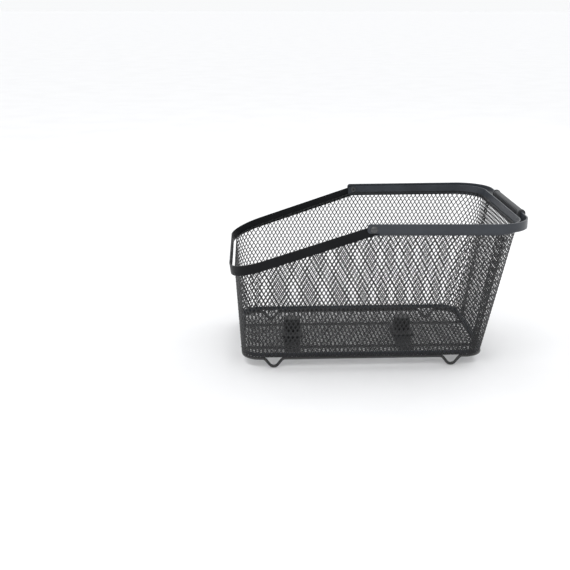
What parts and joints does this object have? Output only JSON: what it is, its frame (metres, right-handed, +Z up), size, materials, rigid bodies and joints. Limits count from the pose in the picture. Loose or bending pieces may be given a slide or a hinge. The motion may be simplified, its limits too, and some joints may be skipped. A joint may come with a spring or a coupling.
{
  "type": "bicycle carrier basket",
  "caption": "Open mesh basket with a sloping front rim, a folding carry handle and hand knobs that clamp it to a bicycle carrier.",
  "frame": {"origin": "centre of the overall plan, on the plane that the four wire foot loops stand on", "axes": "+X towards the high end of the basket (the rear on a bicycle), +Y to the right side, +Z up"},
  "size_m": [0.462, 0.3236, 0.2428],
  "materials": {
    "mesh_coat": "black powder coat on expanded steel mesh, satin",
    "band_coat": "anthracite black powder coat on steel strip, satin",
    "front_band_coat": null,
    "wire_coat": "black powder coat on steel wire, semi gloss",
    "rivet_metal": "black coated steel rivet, semi gloss",
    "grip_plastic": "dark grey moulded plastic, fine texture",
    "knob_plastic": "black moulded plastic",
    "fixing_steel": "zinc plated steel",
    "fixing_coat": "black coated steel plate"
  },
  "bodies": {
    "basket": {"wall_mesh": "mesh_coat", "rear_mesh": "mesh_coat", "floor_mesh": "mesh_coat", "rear_rim_band": "band_coat", "front_rim_band": "front_band_coat", "base_strip": "band_coat", "base_wire_left": "wire_coat", "base_wire_right": "wire_coat", "base_rod_left": "wire_coat", "base_rod_right": "wire_coat", "pivot_spacer_left": "knob_plastic", "pivot_spacer_right": "knob_plastic", "pivot_rivet_left": "rivet_metal", "pivot_rivet_right": "rivet_metal", "upper_plate_front": "knob_plastic", "knob_washer_front": "fixing_steel", "upper_plate_rear": "knob_plastic", "knob_washer_rear": "fixing_steel"},
    "handle": {"handle_strap": "band_coat", "grip_inner_shell": "grip_plastic", "grip_outer_shell": "grip_plastic", "grip_screws": "fixing_steel"},
    "front_knob": {"knob_front": "knob_plastic", "knob_insert_front": "fixing_steel"},
    "front_clamp": {"clamp_plate_front": "fixing_coat", "clamp_bolt_front": "fixing_steel"},
    "rear_knob": {"knob_rear": "knob_plastic", "knob_insert_rear": "fixing_steel"},
    "rear_clamp": {"clamp_plate_rear": "fixing_coat", "clamp_bolt_rear": "fixing_steel"}
  },
  "joints": [
    {"name": "handle_fold", "type": "hinge", "parent": "basket", "child": "handle", "pos_m": [-0.015, 0, 0.231], "axis": [0, -1, 0], "range_deg": [-20, 200]},
    {"name": "front_knob_turn", "type": "hinge", "parent": "basket", "child": "front_knob", "pos_m": [-0.13, 0, 0.0338], "axis": [0, 0, 1], "range_deg": [0, 4320]},
    {"name": "front_clamp_travel", "type": "slide", "parent": "basket", "child": "front_clamp", "axis": [0, 0, 1], "range_m": [-0.012, 0]},
    {"name": "rear_knob_turn", "type": "hinge", "parent": "basket", "child": "rear_knob", "pos_m": [0.056, 0, 0.0338], "axis": [0, 0, 1], "range_deg": [0, 4320]},
    {"name": "rear_clamp_travel", "type": "slide", "parent": "basket", "child": "rear_clamp", "axis": [0, 0, 1], "range_m": [-0.012, 0]}
  ],
  "couplings": [
    {"joint": "front_knob_turn", "follows": "front_clamp_travel", "rad_per_m": -6283.2},
    {"joint": "rear_knob_turn", "follows": "rear_clamp_travel", "rad_per_m": -6283.2}
  ]
}
